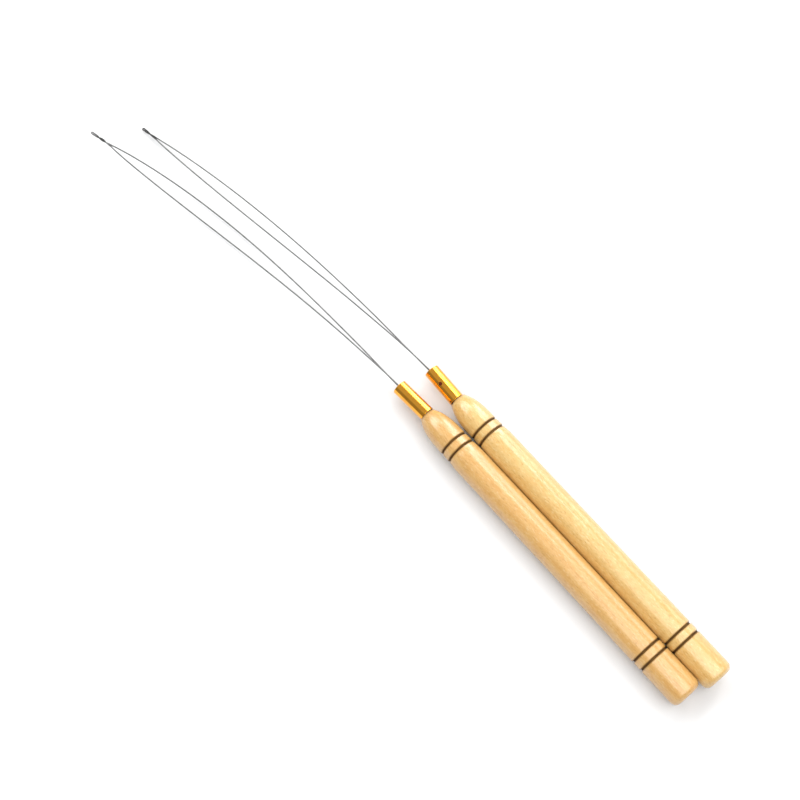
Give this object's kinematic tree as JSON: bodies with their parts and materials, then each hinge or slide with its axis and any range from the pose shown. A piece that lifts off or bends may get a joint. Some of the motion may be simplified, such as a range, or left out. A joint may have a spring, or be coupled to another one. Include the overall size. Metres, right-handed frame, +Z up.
{
  "type": "hair extension pulling hook",
  "caption": "Pulling hooks for threading hair through micro rings: turned wooden handle, brass ferrule and a long folded loop of thin spring-steel wire.",
  "frame": {"origin": "on the surface that the pair lies on, under the middle of its box", "axes": "+Z up, +X from the butts toward the tips of the loops, +Y to the left"},
  "size_m": [0.2308, 0.0308, 0.009],
  "materials": {
    "turned_wood": "clear varnish, satin to gloss, with burnt grooves",
    "ferrule_brass": "polished, drawn tube",
    "pin_steel": "dull, darkened",
    "set_glue": "set glue, slightly glossy",
    "spring_wire": "drawn wire, bright"
  },
  "bodies": {
    "left_hook": {"left_handle": "turned_wood", "left_ferrule": "ferrule_brass", "left_ferrule_pin": "pin_steel", "left_glue_plug": "set_glue", "left_wire_outer_leg": "spring_wire", "left_wire_inner_leg": "spring_wire", "left_wire_tip": "spring_wire"},
    "right_hook": {"right_handle": "turned_wood", "right_ferrule": "ferrule_brass", "right_ferrule_pin": "pin_steel", "right_glue_plug": "set_glue", "right_wire_outer_leg": "spring_wire", "right_wire_inner_leg": "spring_wire", "right_wire_tip": "spring_wire"}
  },
  "joints": [
    {"name": "right_hook_aside", "type": "slide", "parent": "left_hook", "child": "right_hook", "axis": [0, -1, 0], "range_m": [0, 0.03]}
  ]
}
